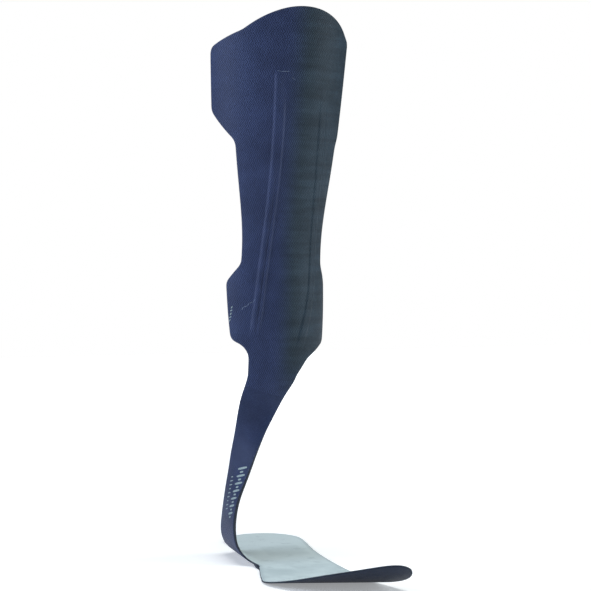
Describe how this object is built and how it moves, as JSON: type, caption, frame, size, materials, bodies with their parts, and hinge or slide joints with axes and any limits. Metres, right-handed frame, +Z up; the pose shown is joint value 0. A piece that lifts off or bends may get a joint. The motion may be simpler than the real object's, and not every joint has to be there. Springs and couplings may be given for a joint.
{
  "type": "ankle-foot orthosis",
  "caption": "Right-leg carbon-composite ankle-foot orthosis: winged shin shell with rib ridges, slender lateral strut that turns under the foot, and full-length footplate with toe spring.",
  "frame": {"origin": "on the sole, under the centre of the round heel", "axes": "+Z up the leg, toes towards -Y, the lateral strut towards -X"},
  "size_m": [0.1077, 0.2678, 0.4015],
  "materials": {
    "woven_skin": "navy twill-woven composite skin, satin resin",
    "spring_laminate": "dark carbon laminate, sanded edge",
    "lining_skin": "dark woven inner skin, satin",
    "top_cover": "pale grey-green smooth cover film"
  },
  "bodies": {
    "foot": {"rear_sole_skin": "woven_skin", "rear_plate_laminate": "spring_laminate", "rear_top_cover": "top_cover", "lower_strut_outer_skin": "woven_skin", "lower_strut_laminate": "spring_laminate", "lower_strut_inner_skin": "lining_skin", "strut_flexure_outer_skin": "woven_skin", "strut_flexure_laminate": "spring_laminate", "strut_flexure_inner_skin": "lining_skin"},
    "shell": {"shell_outer_skin": "woven_skin", "shell_laminate": "spring_laminate", "shell_inner_skin": "lining_skin", "lateral_rib_core": "woven_skin", "medial_rib_core": "woven_skin", "upper_strut_outer_skin": "woven_skin", "upper_strut_laminate": "spring_laminate", "upper_strut_inner_skin": "lining_skin"},
    "forefoot": {"forefoot_sole_skin": "woven_skin", "forefoot_plate_laminate": "spring_laminate", "forefoot_top_cover": "top_cover"}
  },
  "joints": [
    {"name": "ankle_flex", "type": "hinge", "parent": "foot", "child": "shell", "pos_m": [-0.0325, -0.0675, 0.077], "axis": [1, 0, 0], "range_deg": [-6, 10], "stiffness_Nm_per_rad": 45, "deforming": ["strut_flexure_outer_skin", "strut_flexure_laminate", "strut_flexure_inner_skin"]},
    {"name": "toe_flex", "type": "hinge", "parent": "foot", "child": "forefoot", "pos_m": [0, -0.15846, 0.0013], "axis": [-0.9781, 0.2079, 0], "range_deg": [0, 25], "stiffness_Nm_per_rad": 4}
  ]
}
